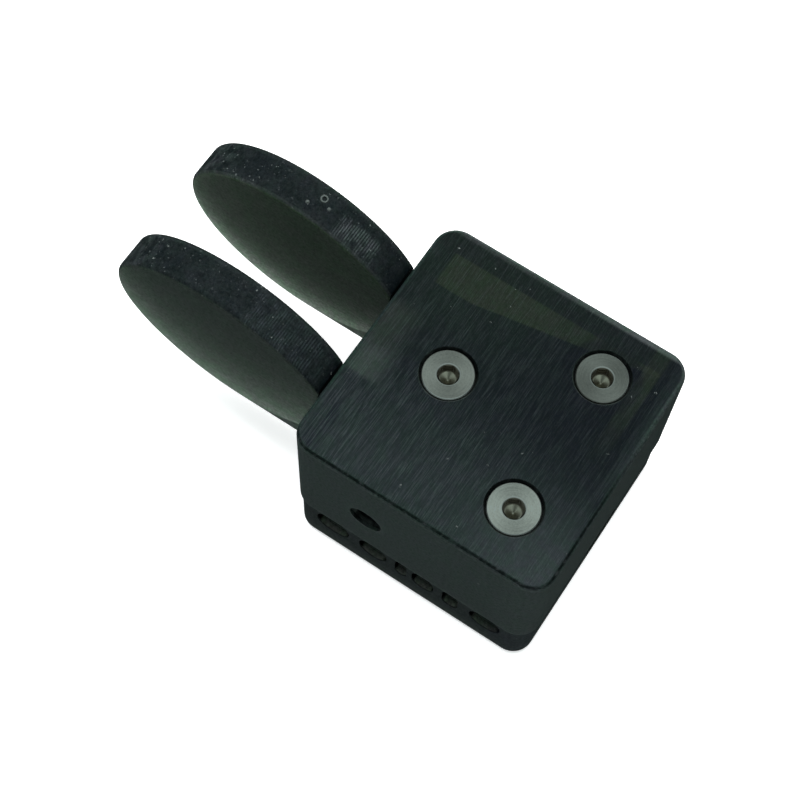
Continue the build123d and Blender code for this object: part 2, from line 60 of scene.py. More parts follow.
# ---- sizes in millimetres, read from the frame ---------------------------------------------------
half_block, _, block_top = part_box("body_shell")[1] / MM
recess_face, _, seam_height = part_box("base_plate")[1] / MM
arm_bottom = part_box("right_lever")[0].z / MM
gap_low, gap_high = [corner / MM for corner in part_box("right_gap_screw")]
hole_y = (gap_low.y + gap_high.y) / 2
hole_z = (gap_low.z + gap_high.z) / 2
front_low, front_high = [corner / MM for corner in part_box("front_contact_screw")]
rear_low, rear_high = [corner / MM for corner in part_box("rear_pivot_screws")]
head_radius = (front_high.x - front_low.x) / 2
front_y = (front_low.y + front_high.y) / 2
rear_x = rear_high.x - head_radius
rear_y = (rear_low.y + rear_high.y) / 2

# ---- oval of the finger plates, side on ----------------------------------------------------------
plate_centre_y = -27.5
plate_centre_z = 19.35
plate_half_length = 13.8
plate_half_height = 10.5
plate_tilt = math.radians(11.4)

# ---- marks on the left plate's rim ---------------------------------------------------------------
RING_MARK = (-7.1, -25.4, 29.7)
NIBS = ((-5.8, -26.6, 29.9), (-6.5, -24.4, 29.5))

# ---- painted details -----------------------------------------------------------------------------
layer_pitch = 0.26
dimple_pitch = 1.5
hole_radius = 1.8
socket_mouth = 1.14
socket_depth = 1.05

# ---- studio, in metres except where millimetres are said -----------------------------------------
floor_half_size = 1.2
floor_gap = 0.05 * MM
lens_mm = 79.40
sensor_mm = 36
camera_place = Vector((66.0037, 27.075, 187.534)) * MM
camera_look = Vector((-0.342165, -0.196558, -0.918848)).normalized()
camera_up = Vector((-0.761183, -0.515373, 0.393694)).normalized()


# ---- node graph helper ---------------------------------------------------------------------------
class Nodes:
    """A node tree's builder. Its methods return sockets, and numbers can stand for sockets."""

    def __init__(self, tree):
        self.tree = tree

    def link(self, socket, value):
        if isinstance(value, bpy.types.NodeSocket):
            self.tree.links.new(value, socket)
        else:
            socket.default_value = value

    def split(self, vector):
        node = self.tree.nodes.new("ShaderNodeSeparateXYZ")
        self.link(node.inputs[0], vector)
        return node.outputs

    def math(self, operation, *values):
        node = self.tree.nodes.new("ShaderNodeMath")
        node.operation = operation
        for socket, value in zip(node.inputs, values):
            self.link(socket, value)
        return node.outputs[0]

    def add(self, a, b):
        return self.math("ADD", a, b)

    def times(self, a, b):
        return self.math("MULTIPLY", a, b)

    def vector(self, operation, a, b=None, scale=None):
        node = self.tree.nodes.new("ShaderNodeVectorMath")
        node.operation = operation
        self.link(node.inputs[0], a)
        if b is not None:
            self.link(node.inputs[1], b)
        if scale is not None:
            self.link(node.inputs["Scale"], scale)
        return node.outputs[0]

    def product(self, a, b):
        return self.vector("MULTIPLY", a, b)

    def join(self, x, y, z):
        node = self.tree.nodes.new("ShaderNodeCombineXYZ")
        for socket, value in zip(node.inputs, (x, y, z)):
            self.link(socket, value)
        return node.outputs[0]

    def ramp(self, value, start, end, low=0.0, high=1.0):
        """Smooth change from low to high as value goes from start to end."""
        node = self.tree.nodes.new("ShaderNodeMapRange")
        node.interpolation_type = "SMOOTHSTEP"
        for name, number in (("From Min", start), ("From Max", end), ("To Min", low), ("To Max", high)):
            self.link(node.inputs[name], number)
        self.link(node.inputs["Value"], value)
        return node.outputs[0]

    def band(self, value, low, high, soft):
        """1 where value lies between low and high, with edges this soft."""
        rise = self.ramp(value, self.add(low, -soft), self.add(low, soft))
        fall = self.ramp(value, self.add(high, -soft), self.add(high, soft), 1.0, 0.0)
        return self.times(rise, fall)

    def noise(self, where, scale=1.0, detail=3.0, roughness=0.55):
        """Noise from 0 to 1, about 0.5 on average."""
        node = self.tree.nodes.new("ShaderNodeTexNoise")
        self.link(node.inputs["Vector"], where)
        self.link(node.inputs["Scale"], scale)
        self.link(node.inputs["Detail"], detail)
        self.link(node.inputs["Roughness"], roughness)
        return node.outputs[0]

    def specks(self, where, spacing, radius, share):
        """Small ragged flecks, one to a cell of this spacing, in this share of the cells."""
        ragged = self.tree.nodes.new("ShaderNodeTexNoise")
        self.link(ragged.inputs["Vector"], where)
        self.link(ragged.inputs["Scale"], 0.35 / radius)
        shift = self.vector("SCALE", ragged.outputs["Color"], scale=8.0 * radius)
        node = self.tree.nodes.new("ShaderNodeTexVoronoi")
        self.link(node.inputs["Vector"], self.vector("ADD", where, shift))
        self.link(node.inputs["Scale"], 1 / spacing)
        red, green, _ = self.split(node.outputs["Color"])
        chosen = self.math("LESS_THAN", red, share)
        size = self.times(self.add(0.4, green), radius / spacing)
        inward = self.math("SUBTRACT", size, node.outputs["Distance"])
        soft = 0.3 * radius / spacing
        return self.times(self.ramp(inward, -soft, soft), chosen)

    def mix(self, share, a, b):
        node = self.tree.nodes.new("ShaderNodeMix")
        node.data_type = "RGBA"
        self.link(node.inputs[0], share)
        self.link(node.inputs[6], a if isinstance(a, bpy.types.NodeSocket) else (*a, 1))
        self.link(node.inputs[7], b if isinstance(b, bpy.types.NodeSocket) else (*b, 1))
        return node.outputs[2]

    def shade(self, colour, factor):
        """Colour times a factor."""
        return self.vector("SCALE", colour, scale=factor)

    def apart(self, vector, point):
        """Distance between a vector socket and a fixed point."""
        node = self.tree.nodes.new("ShaderNodeVectorMath")
        node.operation = "DISTANCE"
        self.link(node.inputs[0], vector)
        node.inputs[1].default_value = point
        return node.outputs["Value"]


class Graph(Nodes):
    """One material, with the place and the surface's direction at hand in the row frame."""

    def __init__(self, name, roughness, metallic=0.0, specular=0.5):
        self.material = bpy.data.materials.new(name)
        self.material.use_nodes = True
        super().__init__(self.material.node_tree)
        self.shader = self.tree.nodes["Principled BSDF"]
        self.set("Roughness", roughness)
        self.set("Metallic", metallic)
        self.set("Specular IOR Level", specular)
        texture = self.tree.nodes.new("ShaderNodeTexCoord")
        self.place = self.vector("SCALE", texture.outputs["Object"], scale=1 / MM)
        self.x, self.y, self.z = self.split(self.place)
        self.nx, self.ny, self.nz = self.split(texture.outputs["Normal"])
        self.height = None

    def set(self, name, value):
        self.link(self.shader.inputs[name], value)

    def distance(self, point):
        return self.apart(self.place, point)

    def radius(self, x, y):
        """Distance in plan from an upright axis."""
        across = self.add(self.x, -x)
        along = self.add(self.y, -y)
        return self.math("SQRT", self.add(self.times(across, across), self.times(along, along)))

    def stretched(self, x, y, z):
        return self.product(self.place, (x, y, z))

    def sheen(self, level, depth=1.1):
        """Reflectivity round this level, made uneven by depth at a fine grain."""
        grain = self.ramp(self.noise(self.place, 2.6, 4.0, 0.8), 0.3, 0.7)
        uneven = self.add(1.0, self.times(self.add(grain, -0.5), depth))
        self.set("Specular IOR Level", self.times(level, uneven))

    def relief(self, height, depth):
        """Adds bump to the surface: height from 0 to 1 stands for depth in millimetres."""
        node = self.tree.nodes.new("ShaderNodeBump")
        self.link(node.inputs["Height"], height)
        node.inputs["Distance"].default_value = depth * MM
        if self.height is not None:
            self.link(node.inputs["Normal"], self.height)
        self.height = node.outputs[0]
        self.set("Normal", self.height)


# ---- smoked resin --------------------------------------------------------------------------------
HOLLOW_SHADE = (0.0010, 0.0022, 0.0036)
DEEP_GREEN = (0.0022, 0.0050, 0.0042)
OLIVE = (0.0078, 0.0122, 0.0068)
RIGHT_REFLECTION = (0.0060, 0.0100, 0.0104)
SIDE = (0.0110, 0.0190, 0.0172)
PALE = (0.0175, 0.0255, 0.0215)
LEFT_FACE_LIT = (0.0325, 0.0500, 0.0320)
LEFT_EDGE_LIGHT_FRONT = (0.0170, 0.0215, 0.0200)
LEFT_EDGE_LIGHT_REAR = (0.0390, 0.0490, 0.0455)
SANDED = (0.028, 0.038, 0.039)
CREST = (0.0008, 0.0016, 0.0017)
LEFT_EDGE_HIGHLIGHT = (0.044, 0.057, 0.053)
COUNTERSINK_SHADE = (0.0004, 0.0006, 0.0007)
DEEP_SHADE = (0.0003, 0.0006, 0.0007)
RECESS_WALL_LIGHT = (0.022, 0.028, 0.024)
RECESS_FLOOR_LIGHT = (0.056, 0.064, 0.053)
RIM_DARK = (0.0020, 0.0038, 0.0046)
RIM_PALE = (0.0044, 0.0064, 0.0072)
MARK = (0.060, 0.072, 0.068)
DUST = (0.12, 0.135, 0.13)
GREEN_CAST = (0.89, 1.05, 0.93)
VIOLET_CAST = (1.08, 0.95, 1.07)


def mottled(g, colour, depth):
    """Faint green and violet clouds, a few millimetres wide, in the resin's colour."""
    clouds = g.noise(g.place, 0.6, 3.0, 0.7)
    tinted = g.product(colour, g.mix(g.ramp(clouds, 0.38, 0.62), GREEN_CAST, VIOLET_CAST))
    grain = g.ramp(g.noise(g.place, 3.2, 4.0, 0.8), 0.32, 0.68)
    return g.shade(g.mix(0.9, colour, tinted), g.add(1.0, g.times(g.add(grain, -0.5), depth)))


def sanding_lines(g):
    """Fine, broken sanding lines along X: bright where 1."""
    layers = []
    for length, pitch, start in ((0.30, 7.5, 0.52), (0.5, 12.0, 0.52), (0.08, 4.5, 0.56)):
        streaks = g.noise(g.stretched(length, pitch, 1.0), 1.0, 1.0, 0.6)
        layers.append(g.ramp(streaks, start, start + 0.14))
    return g.add(g.add(g.times(layers[0], 0.4), g.times(layers[1], 0.35)), g.times(layers[2], 0.25))


def dusted(g, colour, amount, spacing=0.8, share=0.12):
    """Colour with pale specks of dust, fine and coarse."""
    fine = g.specks(g.place, spacing, 0.07, share)
    coarse = g.specks(g.vector("ADD", g.place, (40.0, 20.0, 10.0)), 2.4, 0.11, 0.3)
    both = g.math("MAXIMUM", fine, g.times(coarse, 0.9))
    return g.mix(g.times(both, amount), colour, DUST)


def shell_top_colour(g):
    """The roof: painted see-through shade over the hollow, painted see-through light in olive over the
    left and rear walls, and a painted reflection that lightens it on the right.
    """
    # painted see-through shade over the hollow, lightened towards the right by a painted reflection
    colour = g.mix(g.ramp(g.x, -2.0, 13.0), HOLLOW_SHADE, RIGHT_REFLECTION)
    # painted see-through shade, deep green, over the left front
    left_green = g.times(g.ramp(g.x, -9.0, 3.0, 1.0, 0.0), g.ramp(g.y, 8.0, -8.0))
    colour = g.mix(left_green, colour, DEEP_GREEN)
    # painted see-through light: olive strips beside the left wall and along the rear wall
    strip_inner = g.math("MINIMUM", -8.0, g.add(-9.4, g.times(g.y, -0.177)))
    strip = g.times(g.band(g.x, -12.1, strip_inner, 0.12), g.band(g.y, -12.2, 12.6, 0.25))
    front_corner = g.ramp(g.y, 3.0, -2.0, 0.75, 1.0)
    colour = g.mix(g.times(g.times(strip, front_corner), 0.85), colour, OLIVE)
    rear = g.times(g.band(g.y, 10.9, 12.6, 0.2), g.ramp(g.x, -12.2, 2.0, 0.7, 0.0))
    colour = g.mix(rear, colour, OLIVE)
    # painted see-through light over the solid front pillar, and fainter beside it
    patch_shape = g.times(g.ramp(g.y, -9.6, -12.8), g.ramp(g.y, -14.6, -13.6, 0.6, 1.0))
    front_patch = g.times(g.times(g.ramp(g.x, 0.0, 2.6), g.ramp(g.x, 4.7, 5.5, 1.0, 0.0)), patch_shape)
    colour = g.mix(g.times(front_patch, 0.8), colour, PALE)
    front_see_through_light = g.times(g.band(g.x, -4.0, 1.4, 0.9), g.ramp(g.y, -9.5, -13.5))
    colour = g.mix(g.times(front_see_through_light, 0.6), colour, (0.011, 0.016, 0.012))
    # painted reflection, lighter and bluer towards the rear right
    rear_right = g.times(g.ramp(g.x, 3.0, 14.0), g.ramp(g.y, 1.0, 14.0))
    colour = g.mix(g.times(rear_right, 0.8), colour, (0.014, 0.020, 0.0205))
    # painted shade in a ring round the left rear screw
    left_screw = g.radius(-rear_x, rear_y)
    screw_ring_shade = g.times(g.ramp(left_screw, 2.9, 3.2), g.ramp(left_screw, 3.8, 4.6, 1.0, 0.0))
    colour = g.mix(g.times(screw_ring_shade, 0.6), colour, (0.0008, 0.0012, 0.0030))
    # painted see-through shade along the left margin
    left_margin = g.times(g.band(g.x, -14.2, -12.1, 0.2), g.ramp(g.y, 14.0, 12.0))
    colour = g.mix(g.times(left_margin, 0.6), colour, (0.0030, 0.0052, 0.0046))
    # painted reflection, lighter along the rear edge on the left
    rear_margin = g.times(g.ramp(g.y, 13.2, 14.4), g.ramp(g.x, 4.0, 0.0))
    colour = g.mix(g.times(rear_margin, 0.5), colour, (0.0070, 0.0115, 0.0115))
    corner_scratches = g.times(g.band(g.y, -13.9, -12.0, 0.5), g.ramp(g.x, 8.0, 10.0))
    scratch = g.ramp(g.noise(g.stretched(0.15, 4.0, 1.0), 1.0, 2.0, 0.6), 0.42, 0.60)
    colour = g.mix(g.times(g.times(corner_scratches, scratch), 0.9), colour, (0.0012, 0.0012, 0.0055))
    # painted highlight on the rounded left edge, brighter towards the rear
    left_edge_light = g.mix(g.ramp(g.y, -4.0, 9.0), LEFT_EDGE_LIGHT_FRONT, LEFT_EDGE_LIGHT_REAR)
    return g.mix(g.times(g.ramp(g.x, -14.0, -14.45), 0.9), colour, left_edge_light)


def shell_wall_colour(g):
    """The upright walls: paler towards the roof and at the rear right corner."""
    wall = g.mix(g.ramp(g.z, 8.0, 18.0), (0.0100, 0.0160, 0.0150), SIDE)
    rear_right_pale = g.times(g.ramp(g.y, 9.0, 14.0), g.ramp(g.x, 13.0, 14.9))
    wall = g.mix(g.times(rear_right_pale, 0.35), wall, (0.021, 0.030, 0.028))
    foot_line = g.times(g.band(g.z, seam_height - 0.1, seam_height + 0.22, 0.08), 0.5)
    wall = g.mix(foot_line, wall, (0.032, 0.044, 0.040))
    from_hole = g.distance((half_block, hole_y, hole_z))
    hole_rim = g.band(from_hole, hole_radius, hole_radius + 0.45, 0.12)
    wall = g.mix(g.times(hole_rim, 0.4), wall, (0.030, 0.040, 0.037))
    hole_shade = g.ramp(from_hole, hole_radius, hole_radius + 0.2, 0.9, 0.0)
    return g.mix(hole_shade, wall, (0.006, 0.012, 0.009))


def roof_edge(g, colour):
    """Colour with the roof's rounded edge: a painted dark reflection on the crest over a painted light
    line, and a painted highlight on the left.

    The dark line's mask comes back too.
    """
    # painted dark reflection along the crest of the right and rear edges, broken by noise
    broken = g.ramp(g.noise(g.place, 0.9, 3.0, 0.6), 0.25, 0.5, 0.5, 1.0)
    crest = g.times(g.band(g.nz, 0.58, 0.92, 0.07), broken)
    rear_edge = g.ramp(g.ny, 0.1, 0.4)
    right_edge = g.math("MAXIMUM", g.ramp(g.nx, 0.1, 0.4), g.times(rear_edge, g.ramp(g.x, -8.0, 6.0)))
    dark_line = g.times(crest, right_edge)
    colour = g.mix(g.times(dark_line, 0.9), colour, CREST)
    scuffs = g.times(g.ramp(g.noise(g.place, 2.4, 4.0, 0.7), 0.52, 0.66), g.band(g.nz, 0.15, 0.96, 0.04))
    colour = g.mix(g.times(g.times(scuffs, right_edge), 0.5), colour, (0.026, 0.034, 0.032))
    # painted reflection as a light line below the crest
    light_line = g.times(g.band(g.nz, 0.05, 0.30, 0.08), right_edge)
    colour = g.mix(g.times(light_line, 0.5), colour, (0.033, 0.043, 0.041))
    # painted highlight on the left edge and on the rear edge's left part
    left_edge = g.times(g.ramp(g.nx, -0.1, -0.5), g.ramp(g.z, 22.5, 23.6))
    colour = g.mix(left_edge, colour, LEFT_EDGE_HIGHLIGHT)
    rear_left = g.times(g.times(rear_edge, g.ramp(g.x, 4.0, -12.0)), g.ramp(g.z, 22.5, 23.6))
    colour = g.mix(g.times(rear_left, 0.5), colour, (0.030, 0.039, 0.037))
    return colour, dark_line


def countersinks(g, colour):
    """Colour with painted shade, near-black, in the gaps round the three screw heads."""
    nearest = g.math("MINIMUM", g.radius(-rear_x, rear_y), g.radius(rear_x, rear_y))
    nearest = g.math("MINIMUM", nearest, g.radius(0.0, front_y))
    countersink_shade = g.ramp(nearest, head_radius + 0.33, head_radius + 0.20)
    return g.mix(countersink_shade, colour, COUNTERSINK_SHADE)


def shell_resin():
    """Smoked resin of the upper shell."""
    g = Graph("smoked_resin_shell", 0.42)
    top = g.ramp(g.nz, 0.90, 0.985)
    lines = sanding_lines(g)
    worn = g.add(0.25, g.times(g.ramp(g.x, -8.0, 12.0, 0.2, 1.0), g.ramp(g.y, 9.0, -2.0, 0.25, 1.0)))
    roof = g.mix(g.times(g.times(lines, worn), 0.5), shell_top_colour(g), SANDED)
    colour = g.mix(top, shell_wall_colour(g), roof)
    colour, dark_line = roof_edge(g, colour)
    colour = countersinks(g, colour)
    colour = mottled(g, colour, g.add(0.95, g.times(top, -0.5)))
    dusty = g.math("MAXIMUM", g.band(g.x, -13.4, -11.7, 0.5), 0.6)
    g.set("Base Color", dusted(g, colour, dusty, 0.9, 0.14))

    # reflectivity: low on the crest, streaked by the sanding lines on the roof
    edge_sheen = g.add(0.5, g.times(dark_line, -0.4))
    streaked = g.add(1.0, g.times(g.times(g.add(lines, -0.35), top), 0.9))
    g.sheen(g.times(edge_sheen, streaked), g.add(1.1, g.times(top, -0.9)))
    g.set("Roughness", g.add(g.times(lines, g.times(top, 0.12)), 0.36))
    g.relief(g.times(lines, top), 0.010)
    g.relief(g.noise(g.place, 2.2, 3.0, 0.6), 0.006)
    return g.material


def base_resin():
    """Smoked resin of the base: a dark band, with painted light that pales it low down and in its
    recesses, most on their floors, and painted shade at the top of the recesses.
    """
    g = Graph("smoked_resin_base", 0.5)
    # painted light, paler low down
    low = g.ramp(g.z, 3.6, 1.2)
    colour = g.mix(low, (0.0055, 0.0085, 0.0092), (0.0150, 0.0195, 0.0175))
    recess = g.times(g.ramp(g.x, recess_face - 0.05, recess_face - 0.2), g.band(g.y, -12.3, 12.3, 0.1))
    recess = g.times(recess, g.ramp(g.x, 12.0, 12.6))
    shaded = g.times(recess, g.ramp(g.z, 3.95, 4.35))
    # painted light on the recess walls, painted shade at their tops and painted light on their floors
    colour = g.mix(recess, colour, RECESS_WALL_LIGHT)
    colour = g.mix(shaded, colour, DEEP_SHADE)
    ledge = g.times(recess, g.ramp(g.nz, 0.5, 0.8))
    colour = g.mix(ledge, colour, RECESS_FLOOR_LIGHT)
    corner = g.times(g.ramp(g.x, 10.0, 14.5), g.ramp(g.y, 8.0, 14.0))
    colour = g.mix(g.times(corner, 0.7), colour, (0.0085, 0.0120, 0.0170))
    colour = mottled(g, colour, 0.95)
    g.set("Base Color", dusted(g, colour, 0.8, 0.7, 0.2))
    g.sheen(g.add(0.5, g.times(shaded, -0.5)))
    g.relief(g.noise(g.place, 1.6, 4.0, 0.6), 0.03)
    return g.material


def above_oval(g):
    """Height of a point above the lower outline of the finger plate, in millimetres."""
    cosine, sine = math.cos(plate_tilt), math.sin(plate_tilt)
    half_span = math.hypot(plate_half_length * cosine, plate_half_height * sine)
    half_chord = plate_half_length * plate_half_height / half_span
    lean = (plate_half_height**2 - plate_half_length**2) * sine * cosine / half_span**2
    along = g.add(g.y, -plate_centre_y)
    share = g.math("MINIMUM", g.math("ABSOLUTE", g.times(along, 1 / half_span)), 1.0)
    arch = g.math("SQRT", g.math("SUBTRACT", 1.0, g.times(share, share)))
    outline = g.add(g.add(plate_centre_z, g.times(along, lean)), g.times(arch, -half_chord))
    return g.math("SUBTRACT", g.z, g.math("MAXIMUM", outline, arm_bottom))


def layer_lines(g, start, end, low, high):
    """Fine casting lines across the rim between two places along Y and two along X."""
    fade = g.times(g.band(g.y, start, end, 0.5), g.band(g.x, low, high, 0.3))
    ripple = g.math("SINE", g.times(g.y, math.tau / layer_pitch))
    broken = g.ramp(g.noise(g.stretched(0.8, 0.8, 0.8), 1.0, 2.0, 0.6), 0.30, 0.62)
    return g.times(g.times(g.add(g.times(ripple, 0.5), 0.5), fade), broken)


def lever_face_colour(g, above, left):
    """Flat faces: dark, with a painted glow of light that fades with the height above their lower edge;
    the left plate's face is painted lighter.
    """
    # painted light: the left plate's face lit more than the right one, and a glow that fades upwards
    right_face = g.mix(g.ramp(above, 4.0, 18.0), (0.0150, 0.0250, 0.0165), (0.0115, 0.0185, 0.0140))
    body = g.mix(left, right_face, LEFT_FACE_LIT)
    rate = g.add(-0.25, g.times(left, -0.17))
    glow = g.math("POWER", math.e, g.times(above, rate))
    glow_tone = g.mix(left, (0.130, 0.170, 0.134), (0.265, 0.335, 0.270))
    colour = g.vector("ADD", body, g.shade(glow_tone, glow))
    # painted shade in a thin line along the lower edge towards the arm
    under_line = g.times(g.ramp(above, 0.75, 0.3), g.ramp(g.y, -33.0, -30.0))
    return g.mix(g.times(under_line, 0.8), colour, (0.010, 0.014, 0.013))


def lever_rim_colour(g, near_lines, far_lines):
    """Rims: cloudy and nearly black, with paler casting lines and a hazy tip."""
    clouds = g.ramp(g.noise(g.place, 0.55, 3.0, 0.6), 0.38, 0.62)
    rim = g.mix(clouds, RIM_DARK, RIM_PALE)
    outer = g.math("MAXIMUM", g.band(g.x, -9.2, -8.25, 0.2), g.band(g.x, 4.0, 4.95, 0.2))
    rim = g.mix(g.times(outer, 0.8), rim, (0.0120, 0.0165, 0.0160))
    rim = g.mix(g.times(near_lines, 0.5), rim, (0.022, 0.030, 0.032))
    rim = g.mix(g.times(far_lines, 0.8), rim, (0.042, 0.052, 0.052))
    hazy = g.times(g.ramp(g.y, -34.0, -40.0), g.ramp(g.noise(g.place, 1.1, 3.0, 0.6), 0.40, 0.62))
    rim = g.mix(g.times(hazy, 0.7), rim, (0.026, 0.033, 0.034))
    speckle = g.noise(g.place, 3.5, 3.0, 0.75)
    return g.shade(rim, g.add(0.1, g.times(speckle, 1.8)))


def lever_resin():
    """Smoked resin of the finger plates: dark rims, and faces with painted light that pales them towards
    their lower edge.
    """
    g = Graph("smoked_resin_lever", 0.45)
    above = above_oval(g)
    face = g.ramp(g.math("ABSOLUTE", g.nx), 0.72, 0.96)
    left = g.ramp(g.x, 0.5, -0.5)  # 1 on the left lever, 0 on the right one
    near_lines = layer_lines(g, -24.6, -16.2, 5.0, 9.2)
    far_lines = layer_lines(g, -22.8, -18.4, -7.2, -4.4)
    rim = lever_rim_colour(g, near_lines, far_lines)
    colour = g.mix(face, rim, lever_face_colour(g, above, left))
    # painted highlight: a thin light line along the left plate's face border
    border = g.times(g.band(g.math("ABSOLUTE", g.nx), 0.50, 0.85, 0.1), g.ramp(above, 7.0, 10.0))
    colour = g.mix(g.times(g.times(border, left), 0.25), colour, (0.045, 0.058, 0.050))
    streaks = g.ramp(g.noise(g.stretched(1.0, 0.5, 2.4), 1.0, 3.0, 0.7), 0.3, 0.7)
    colour = g.shade(colour, g.add(0.8, g.times(streaks, 0.4)))
    colour = mottled(g, colour, g.add(0.5, g.times(face, 0.25)))

    tip_dust = g.specks(g.place, 0.36, 0.06, 0.5)
    tip_share = g.times(g.ramp(g.y, -28.0, -38.0, 0.3, 1.0), g.add(1.0, g.times(face, -0.92)))
    colour = g.mix(g.times(g.times(tip_dust, tip_share), 0.6), colour, (0.14, 0.16, 0.16))
    ring = g.band(g.distance(RING_MARK), 0.28, 0.44, 0.04)
    dots = [g.ramp(g.distance(nib), 0.26, 0.16) for nib in NIBS]
    colour = g.mix(g.math("MAXIMUM", ring, g.math("MAXIMUM", *dots)), colour, MARK)
    g.set("Base Color", dusted(g, colour, g.add(0.9, g.times(face, -0.6)), 0.6, 0.34))
    g.sheen(0.5)
    lines = g.math("MAXIMUM", near_lines, far_lines)
    g.relief(g.times(lines, g.add(1.0, g.times(face, -1.0))), 0.03)
    g.relief(g.noise(g.place, 2.0, 3.0, 0.6), 0.010)
    return g.material


# ---- metals and small parts ----------------------------------------------------------------------
def satin_steel(name, tone, roughness):
    g = Graph(name, roughness, metallic=1.0)
    grain = g.noise(g.stretched(5.0, 5.0, 5.0), 1.0, 3.0, 0.6)
    g.set("Base Color", g.shade(tone, g.add(0.85, g.times(grain, 0.3))))
    g.set("Roughness", g.add(roughness - 0.08, g.times(grain, 0.16)))
    g.relief(grain, 0.004)
    return g.material


def screw_steel(name, tone, centre_x, centre_y, mirrored):
    """Turned stainless head: faint rings, painted sheen in broad sectors and pitting, painted shade
    inside the socket, painted light on its floor and painted highlights on its edges.
    """
    g = Graph(name, 0.3, metallic=1.0)
    east = g.add(g.math("ABSOLUTE", g.x) if mirrored else g.x, -centre_x)
    north = g.add(g.y, -centre_y)
    angle = g.math("ARCTAN2", north, east)
    radius = g.math("SQRT", g.add(g.times(east, east), g.times(north, north)))
    # painted sheen, brighter and darker in broad sectors round the head
    sectors = g.math("SINE", g.add(g.times(angle, 2.0), -2.74))
    rings = g.noise(g.join(g.times(radius, 9.0), g.times(angle, 0.6), g.x), 1.0, 2.0, 0.6)
    pits = g.noise(g.place, 4.5, 4.0, 0.75)
    shading = g.add(g.add(1.0, g.times(sectors, 0.17)), g.times(g.add(rings, -0.5), 0.5))
    shading = g.add(shading, g.times(g.add(pits, -0.5), 0.7))
    colour = g.shade(tone, shading)
    # painted reflection: the right screw lighter than the left one
    if mirrored:
        colour = g.mix(g.ramp(g.x, -1.0, 1.0), g.shade(colour, 0.72), g.shade(colour, 1.35))
    # painted shade inside the socket
    sunk = g.ramp(g.z, block_top - 0.11, block_top - 0.16)
    inside = g.times(g.ramp(radius, socket_mouth + 0.08, socket_mouth), sunk)
    colour = g.mix(g.times(inside, 0.9), colour, (0.15, 0.125, 0.095))
    # painted light on the socket's floor
    deep = g.ramp(g.z, block_top - socket_depth, block_top - socket_depth - 0.15)
    floor = g.times(g.ramp(radius, 0.95, 0.8), deep)
    colour = g.mix(floor, colour, (0.55, 0.52, 0.42))
    # painted highlights on the outer edge's near side and round the socket's mouth
    near_side = g.ramp(g.math("COSINE", g.add(angle, -0.6)), -0.1, 0.6)
    outer_edge = g.times(g.band(radius, head_radius - 0.14, head_radius + 0.1, 0.03), near_side)
    mouth_edge = g.band(radius, socket_mouth, socket_mouth + 0.13, 0.03)
    edge = g.math("MAXIMUM", outer_edge, g.times(mouth_edge, 0.8))
    g.set("Base Color", g.mix(g.times(edge, 0.8), colour, (1.0, 1.0, 0.97)))
    g.set("Roughness", g.add(0.24, g.times(pits, 0.16)))
    g.relief(pits, 0.006)
    g.relief(rings, 0.003)
    return g.material


def ribbed_rubber():
    """Matt black rubber with small square dimples for grip, painted darker inside them as shade."""
    g = Graph("dimpled_rubber", 0.85)
    waves = [g.math("SINE", g.times(axis, math.tau / dimple_pitch)) for axis in (g.x, g.y)]
    dimple = g.times(g.ramp(waves[0], -0.2, 0.2), g.ramp(waves[1], -0.2, 0.2))
    grain = g.noise(g.place, 4.0, 3.0, 0.7)
    # painted shade inside the dimples
    colour = g.mix(dimple, (0.020, 0.020, 0.021), (0.010, 0.010, 0.011))
    g.set("Base Color", g.shade(colour, g.add(0.6, g.times(grain, 0.8))))
    g.relief(g.add(1.0, g.times(dimple, -1.0)), 0.15)
    g.relief(grain, 0.02)
    return g.material


def plain_detail(name, tone, roughness, metallic=0.0):
    """Moulded or drawn material with fine grain in its tone, roughness and relief."""
    g = Graph(name, roughness, metallic)
    grain = g.noise(g.place, 3.0, 3.0, 0.6)
    g.set("Base Color", g.shade(tone, g.add(0.8, g.times(grain, 0.4))))
    g.set("Roughness", g.add(roughness - 0.06, g.times(grain, 0.12)))
    g.relief(grain, 0.004)
    return g.material


materials = {
    "body_shell": shell_resin(),
    "base_plate": base_resin(),
    "lever": lever_resin(),
    "front_screw": screw_steel("stainless_front", (0.600, 0.580, 0.535), 0.0, front_y, False),
    "rear_screw": screw_steel("stainless_rear", (0.620, 0.605, 0.560), rear_x, rear_y, True),
    "washer": satin_steel("stainless_bright", (0.66, 0.66, 0.66), 0.25),
    "black_steel": plain_detail("black_steel", (0.05, 0.05, 0.055), 0.35, 0.8),
    "spring": satin_steel("spring_wire", (0.6, 0.6, 0.62), 0.2),
    "brass": satin_steel("brass_turned", (0.75, 0.58, 0.28), 0.28),
    "tinned": satin_steel("tinned_metal", (0.7, 0.7, 0.68), 0.3),
    "rubber": ribbed_rubber(),
    "jack": plain_detail("jack_plastic", (0.012, 0.012, 0.013), 0.45),
    "red": plain_detail("red_insulation", (0.45, 0.03, 0.02), 0.4),
    "blue": plain_detail("blue_insulation", (0.03, 0.09, 0.42), 0.4),
    "black": plain_detail("black_insulation", (0.02, 0.02, 0.02), 0.4),
}
